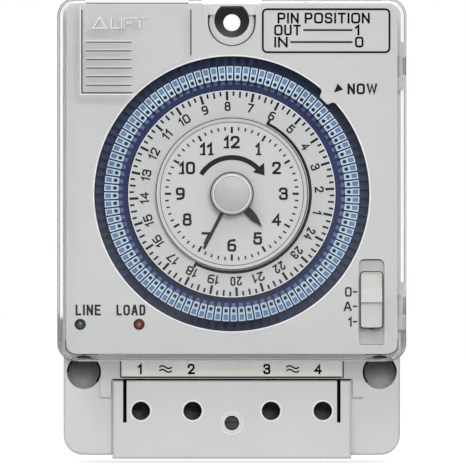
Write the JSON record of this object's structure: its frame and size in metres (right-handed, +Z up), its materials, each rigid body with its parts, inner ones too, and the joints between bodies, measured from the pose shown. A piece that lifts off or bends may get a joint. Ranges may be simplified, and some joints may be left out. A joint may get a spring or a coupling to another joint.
{
  "type": "time switch",
  "caption": "Wall-mounted 24-hour mechanical time switch: pin dial with clock under a hinged clear cover, slide switch, lamps and screw terminals.",
  "frame": {"origin": "middle of the back face, on the wall", "axes": "+Z up, the front faces -Y, +X to the right"},
  "size_m": [0.077, 0.0543, 0.1018],
  "materials": {
    "case_grey": "light grey moulded plastic, fine satin grain",
    "plate_grey": "light grey printed plate",
    "clear_polycarbonate": "clear polished polycarbonate",
    "label_cream": "cream insulating strip",
    "zinc_steel": "bright zinc-plated steel",
    "brass": "plain brass",
    "acetal_white": "natural acetal",
    "carrier_blue": "dark blue-grey moulding",
    "pin_blue": "light blue translucent pins",
    "dial_grey": "satin grey dial",
    "clock_grey": "satin grey clock face",
    "hand_black": "black painted hands",
    "knob_grey": "light grey knob",
    "moulded_black": "black moulding",
    "can_metal": "drawn metal can",
    "board_green": "green laminate",
    "lamp_green": "dark green lens",
    "lamp_red": "red lens"
  },
  "bodies": {
    "case": {"backup_battery": "can_metal", "board_leads": "zinc_steel", "busbars": "brass", "capacitor": "can_metal", "centre_tube": "brass", "circuit_board": "board_green", "clamp_plates": "brass", "clock_face": "clock_grey", "face_plate": "plate_grey", "hinge_pins": "case_grey", "label_strip": "label_cream", "lever_pivot": "zinc_steel", "lever_spring": "zinc_steel", "microswitch": "moulded_black", "motor": "can_metal", "movement_back_plate": "brass", "movement_front_plate": "brass", "movement_pillars": "zinc_steel", "output_lamp": "lamp_red", "power_lamp": "lamp_green", "rear_case": "case_grey", "relay": "moulded_black", "slide_switch_body": "moulded_black", "terminal_block": "moulded_black", "terminal_cover": "case_grey", "terminal_cover_screw": "zinc_steel", "terminal_screws": "zinc_steel"},
    "cover": {"clear_cover": "clear_polycarbonate"},
    "latch": {"open_latch": "clear_polycarbonate"},
    "dial": {"dial_carrier": "carrier_blue", "scale_disc": "dial_grey", "dial_gear": "acetal_white", "time_pins": "pin_blue"},
    "minute": {"minute_arbor": "zinc_steel", "drive_gear": "acetal_white", "cannon_pinion": "brass", "minute_hand": "hand_black", "setting_knob": "knob_grey"},
    "hour": {"hour_pipe": "acetal_white", "hour_wheel": "acetal_white", "hour_pinion": "acetal_white", "hour_hand": "hand_black"},
    "intermediate": {"intermediate_arbor": "zinc_steel", "intermediate_gear": "acetal_white", "intermediate_pinion": "acetal_white"},
    "reduction": {"reduction_arbor": "zinc_steel", "reduction_gear": "acetal_white", "reduction_pinion": "acetal_white"},
    "motor_rotor": {"motor_arbor": "zinc_steel", "motor_pinion": "brass"},
    "slider": {"mode_slider": "knob_grey"},
    "lever": {"follower_lever": "acetal_white"},
    "plunger": {"switch_plunger": "acetal_white"},
    "pin_1": {"time_pin_1": "pin_blue"},
    "pin_2": {"time_pin_2": "pin_blue"},
    "pin_3": {"time_pin_3": "pin_blue"},
    "pin_4": {"time_pin_4": "pin_blue"},
    "pin_5": {"time_pin_5": "pin_blue"},
    "pin_6": {"time_pin_6": "pin_blue"}
  },
  "joints": [
    {"name": "cover_hinge", "type": "hinge", "parent": "case", "child": "cover", "pos_m": [0.03725, -0.04125, 0], "axis": [0, 0, 1], "range_deg": [0, 105]},
    {"name": "latch_slide", "type": "slide", "parent": "cover", "child": "latch", "axis": [0, 0, 1], "range_m": [0, 0.0009], "stiffness_N_per_m": 200, "springref_m": -0.003},
    {"name": "mode_slide", "type": "slide", "parent": "case", "child": "slider", "axis": [0, 0, 1], "range_m": [-0.0038, 0.0025]},
    {"name": "dial_turn", "type": "hinge", "parent": "case", "child": "dial", "pos_m": [0, -0.04, 0.00778], "axis": [0, 1, 0], "continuous": true},
    {"name": "minute_turn", "type": "hinge", "parent": "case", "child": "minute", "pos_m": [0, -0.04, 0.00778], "axis": [0, 1, 0], "continuous": true},
    {"name": "hour_turn", "type": "hinge", "parent": "case", "child": "hour", "pos_m": [0, -0.04, 0.00778], "axis": [0, 1, 0], "continuous": true},
    {"name": "intermediate_turn", "type": "hinge", "parent": "case", "child": "intermediate", "pos_m": [-0.012, -0.027, 0.00778], "axis": [0, 1, 0], "continuous": true},
    {"name": "reduction_turn", "type": "hinge", "parent": "case", "child": "reduction", "pos_m": [0.012, -0.027, 0.00778], "axis": [0, 1, 0], "continuous": true},
    {"name": "motor_turn", "type": "hinge", "parent": "case", "child": "motor_rotor", "pos_m": [0, -0.023, -0.00302], "axis": [0, 1, 0], "continuous": true},
    {"name": "lever_swing", "type": "hinge", "parent": "case", "child": "lever", "pos_m": [0.0316, -0.0432, 0.024], "axis": [0, 1, 0], "range_deg": [0, 6], "stiffness_Nm_per_rad": 0.0005, "springref_deg": -11.46, "deforming": ["lever_spring"]},
    {"name": "plunger_slide", "type": "slide", "parent": "case", "child": "plunger", "axis": [0, 0, 1], "range_m": [0, 0.00085]},
    {"name": "pin_1_slide", "type": "slide", "parent": "dial", "child": "pin_1", "axis": [-0.9934, 0, 0.1145], "range_m": [0, 0.0021]},
    {"name": "pin_2_slide", "type": "slide", "parent": "dial", "child": "pin_2", "axis": [-0.9988, 0, 0.0493], "range_m": [0, 0.0021]},
    {"name": "pin_3_slide", "type": "slide", "parent": "dial", "child": "pin_3", "axis": [-0.9999, 0, -0.0161], "range_m": [0, 0.0021]},
    {"name": "pin_4_slide", "type": "slide", "parent": "dial", "child": "pin_4", "axis": [-0.9967, 0, -0.0815], "range_m": [0, 0.0021]},
    {"name": "pin_5_slide", "type": "slide", "parent": "dial", "child": "pin_5", "axis": [-0.9892, 0, -0.1465], "range_m": [0, 0.0021]},
    {"name": "pin_6_slide", "type": "slide", "parent": "dial", "child": "pin_6", "axis": [-0.9775, 0, -0.2109], "range_m": [0, 0.0021]}
  ],
  "couplings": [
    {"joint": "minute_turn", "follows": "dial_turn", "ratio": 24},
    {"joint": "hour_turn", "follows": "dial_turn", "ratio": 2},
    {"joint": "intermediate_turn", "follows": "dial_turn", "ratio": -8},
    {"joint": "reduction_turn", "follows": "dial_turn", "ratio": -2},
    {"joint": "motor_turn", "follows": "dial_turn", "ratio": -84},
    {"joint": "lever_swing", "follows": "plunger_slide", "rad_per_m": 123}
  ]
}
